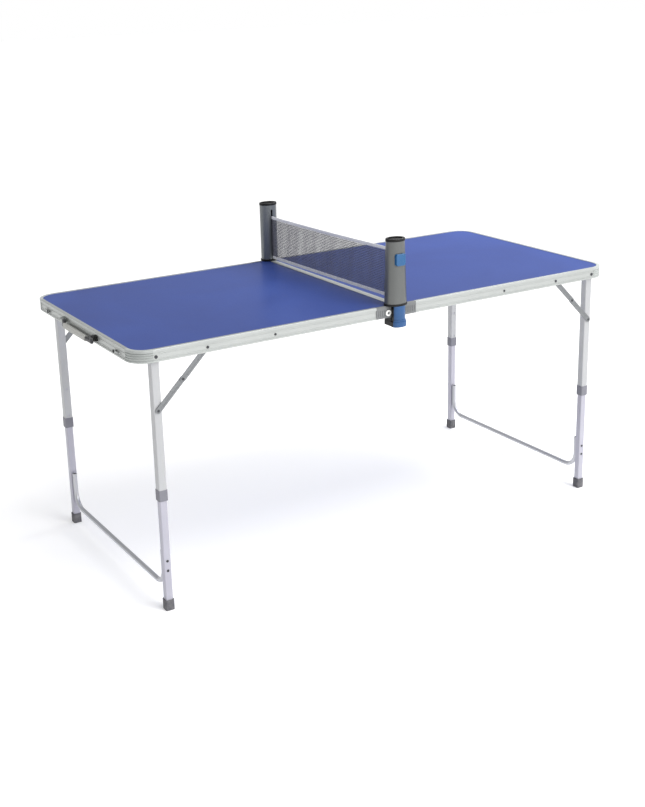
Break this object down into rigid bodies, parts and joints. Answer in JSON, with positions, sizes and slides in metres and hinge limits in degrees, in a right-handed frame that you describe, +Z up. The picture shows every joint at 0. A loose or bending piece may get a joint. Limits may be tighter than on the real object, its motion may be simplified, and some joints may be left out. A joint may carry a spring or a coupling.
{
  "type": "ping pong table",
  "caption": "Folding suitcase-style table tennis table with a blue top in two hinged halves, an aluminium rim, telescopic fold-in leg frames, a carrying handle and a clamp-on net.",
  "frame": {"origin": "on the floor under the middle of the fold line", "axes": "+X along the length from the handle end to the far end, +Y from the front edge to the back edge, +Z up"},
  "size_m": [1.5387, 0.7376, 0.88],
  "materials": {
    "board_blue": "semi-gloss blue laminate over board",
    "rim_alu": "satin extruded",
    "corner_grey": "ribbed moulded plastic",
    "block_grey": "ribbed moulded plastic",
    "fastener_steel": "zinc plated",
    "leg_alu": "satin extruded square tube",
    "lower_leg_alu": "satin extruded square tube",
    "tube_alu": "satin bent round tube",
    "collar_grey": "moulded plastic",
    "foot_rubber": "dark rubber",
    "link_steel": "zinc plated strip",
    "handle_black": "moulded plastic",
    "handle_grey": "soft grip",
    "latch_black": "black coated steel",
    "ring_white": "moulded plastic",
    "net_grey": "fine knotted nylon",
    "tape_white": "woven tape",
    "post_grey": "grey metallic plastic",
    "post_silver": "silver metallic plastic",
    "clamp_black": "moulded plastic",
    "clamp_blue": "moulded plastic",
    "button_blue": "moulded plastic"
  },
  "bodies": {
    "left_half": {"left_panel": "board_blue", "left_front_rail": "rim_alu", "left_back_rail": "rim_alu", "left_end_rail": "rim_alu", "left_center_rail": "rim_alu", "left_corners": "corner_grey", "left_joint_caps": "block_grey", "left_rail_rivets": "fastener_steel", "hinge_pins": "fastener_steel", "front_handle_bracket": "handle_black", "back_handle_bracket": "handle_grey", "fold_rings": "ring_white", "net_mesh": "net_grey", "net_top_tape": "tape_white", "net_bottom_tape": "tape_white"},
    "right_half": {"right_panel": "board_blue", "right_front_rail": "rim_alu", "right_back_rail": "rim_alu", "right_end_rail": "rim_alu", "right_center_rail": "rim_alu", "right_corners": "corner_grey", "right_joint_caps": "block_grey", "right_rail_rivets": "fastener_steel"},
    "left_leg_upper": {"left_upper_legs": "leg_alu", "left_leg_collars": "collar_grey"},
    "left_leg_lower": {"left_lower_legs": "lower_leg_alu", "left_cross_tube": "tube_alu", "left_feet": "foot_rubber", "left_leg_rivets": "fastener_steel"},
    "right_leg_upper": {"right_upper_legs": "leg_alu", "right_leg_collars": "collar_grey"},
    "right_leg_lower": {"right_lower_legs": "lower_leg_alu", "right_cross_tube": "tube_alu", "right_feet": "foot_rubber", "right_leg_rivets": "fastener_steel"},
    "handle": {"handle_bar": "handle_grey", "handle_grip": "handle_grey"},
    "front_latch": {"front_latch_hook": "latch_black"},
    "back_latch": {"back_latch_hook": "latch_black"},
    "front_post": {"front_post_shell": "post_grey", "front_post_cap": "clamp_black", "front_clamp_body": "clamp_black", "front_clamp_cover": "clamp_blue"},
    "front_jaw": {"front_lower_jaw": "clamp_black"},
    "front_button": {"front_release_button": "button_blue"},
    "back_post": {"back_post_shell": "post_silver", "back_post_cap": "clamp_black", "back_clamp_body": "clamp_black", "back_clamp_cover": "clamp_blue"},
    "back_jaw": {"back_lower_jaw": "clamp_black"},
    "back_button": {"back_release_button": "button_blue"},
    "front_left_upper_brace": {"front_left_upper_link": "link_steel"},
    "front_left_lower_brace": {"front_left_lower_link": "link_steel"},
    "front_right_upper_brace": {"front_right_upper_link": "link_steel"},
    "front_right_lower_brace": {"front_right_lower_link": "link_steel"},
    "back_left_upper_brace": {"back_left_upper_link": "link_steel"},
    "back_left_lower_brace": {"back_left_lower_link": "link_steel"},
    "back_right_upper_brace": {"back_right_upper_link": "link_steel"},
    "back_right_lower_brace": {"back_right_lower_link": "link_steel"}
  },
  "joints": [
    {"name": "table_fold", "type": "hinge", "parent": "left_half", "child": "right_half", "pos_m": [0, 0, 0.668], "axis": [0, 1, 0], "range_deg": [0, 90]},
    {"name": "left_leg_fold", "type": "hinge", "parent": "left_half", "child": "left_leg_upper", "pos_m": [-0.7005, 0, 0.681], "axis": [0, -1, 0], "range_deg": [0, 90]},
    {"name": "right_leg_fold", "type": "hinge", "parent": "right_half", "child": "right_leg_upper", "pos_m": [0.7005, 0, 0.681], "axis": [0, 1, 0], "range_deg": [0, 90]},
    {"name": "left_leg_height", "type": "slide", "parent": "left_leg_upper", "child": "left_leg_lower", "axis": [0, 0, 1], "range_m": [0, 0.08]},
    {"name": "right_leg_height", "type": "slide", "parent": "right_leg_upper", "child": "right_leg_lower", "axis": [0, 0, 1], "range_m": [0, 0.08]},
    {"name": "front_left_upper_brace_turn", "type": "hinge", "parent": "left_half", "child": "front_left_upper_brace", "pos_m": [-0.562, -0.3374, 0.681], "axis": [0, 1, 0], "range_deg": [0, 45]},
    {"name": "front_left_lower_brace_turn", "type": "hinge", "parent": "front_left_upper_brace", "child": "front_left_lower_brace", "pos_m": [-0.63125, -0.3374, 0.61135], "axis": [0, -1, 0], "range_deg": [0, 180]},
    {"name": "front_right_upper_brace_turn", "type": "hinge", "parent": "right_half", "child": "front_right_upper_brace", "pos_m": [0.562, -0.3374, 0.681], "axis": [0, -1, 0], "range_deg": [0, 45]},
    {"name": "front_right_lower_brace_turn", "type": "hinge", "parent": "front_right_upper_brace", "child": "front_right_lower_brace", "pos_m": [0.63125, -0.3374, 0.61135], "axis": [0, 1, 0], "range_deg": [0, 180]},
    {"name": "back_left_upper_brace_turn", "type": "hinge", "parent": "left_half", "child": "back_left_upper_brace", "pos_m": [-0.562, 0.3374, 0.681], "axis": [0, 1, 0], "range_deg": [0, 45]},
    {"name": "back_left_lower_brace_turn", "type": "hinge", "parent": "back_left_upper_brace", "child": "back_left_lower_brace", "pos_m": [-0.63125, 0.3374, 0.61135], "axis": [0, -1, 0], "range_deg": [0, 180]},
    {"name": "back_right_upper_brace_turn", "type": "hinge", "parent": "right_half", "child": "back_right_upper_brace", "pos_m": [0.562, 0.3374, 0.681], "axis": [0, -1, 0], "range_deg": [0, 45]},
    {"name": "back_right_lower_brace_turn", "type": "hinge", "parent": "back_right_upper_brace", "child": "back_right_lower_brace", "pos_m": [0.63125, 0.3374, 0.61135], "axis": [0, 1, 0], "range_deg": [0, 180]},
    {"name": "handle_swing", "type": "hinge", "parent": "left_half", "child": "handle", "pos_m": [-0.766, 0, 0.684], "axis": [0, 1, 0], "range_deg": [0, 90]},
    {"name": "front_latch_turn", "type": "hinge", "parent": "left_half", "child": "front_latch", "pos_m": [-0.762, -0.23, 0.679], "axis": [1, 0, 0], "range_deg": [0, 90]},
    {"name": "back_latch_turn", "type": "hinge", "parent": "left_half", "child": "back_latch", "pos_m": [-0.762, 0.23, 0.679], "axis": [-1, 0, 0], "range_deg": [0, 90]},
    {"name": "front_post_out", "type": "slide", "parent": "left_half", "child": "front_post", "axis": [0, -1, 0], "range_m": [0, 0.06]},
    {"name": "front_jaw_open", "type": "slide", "parent": "front_post", "child": "front_jaw", "axis": [0, 0, -1], "range_m": [0, 0.02], "stiffness_N_per_m": 300, "springref_m": -0.003},
    {"name": "front_button_press", "type": "slide", "parent": "front_post", "child": "front_button", "axis": [0, 1, 0], "range_m": [0, 0.003], "stiffness_N_per_m": 600, "springref_m": -0.001},
    {"name": "back_post_out", "type": "slide", "parent": "left_half", "child": "back_post", "axis": [0, 1, 0], "range_m": [0, 0.06]},
    {"name": "back_jaw_open", "type": "slide", "parent": "back_post", "child": "back_jaw", "axis": [0, 0, -1], "range_m": [0, 0.02], "stiffness_N_per_m": 300, "springref_m": -0.003},
    {"name": "back_button_press", "type": "slide", "parent": "back_post", "child": "back_button", "axis": [0, -1, 0], "range_m": [0, 0.003], "stiffness_N_per_m": 600, "springref_m": -0.001}
  ],
  "couplings": [
    {"joint": "front_left_upper_brace_turn", "follows": "left_leg_fold", "ratio": 0.5},
    {"joint": "front_left_lower_brace_turn", "follows": "left_leg_fold", "ratio": 2},
    {"joint": "front_right_upper_brace_turn", "follows": "right_leg_fold", "ratio": 0.5},
    {"joint": "front_right_lower_brace_turn", "follows": "right_leg_fold", "ratio": 2},
    {"joint": "back_left_upper_brace_turn", "follows": "left_leg_fold", "ratio": 0.5},
    {"joint": "back_left_lower_brace_turn", "follows": "left_leg_fold", "ratio": 2},
    {"joint": "back_right_upper_brace_turn", "follows": "right_leg_fold", "ratio": 0.5},
    {"joint": "back_right_lower_brace_turn", "follows": "right_leg_fold", "ratio": 2}
  ]
}
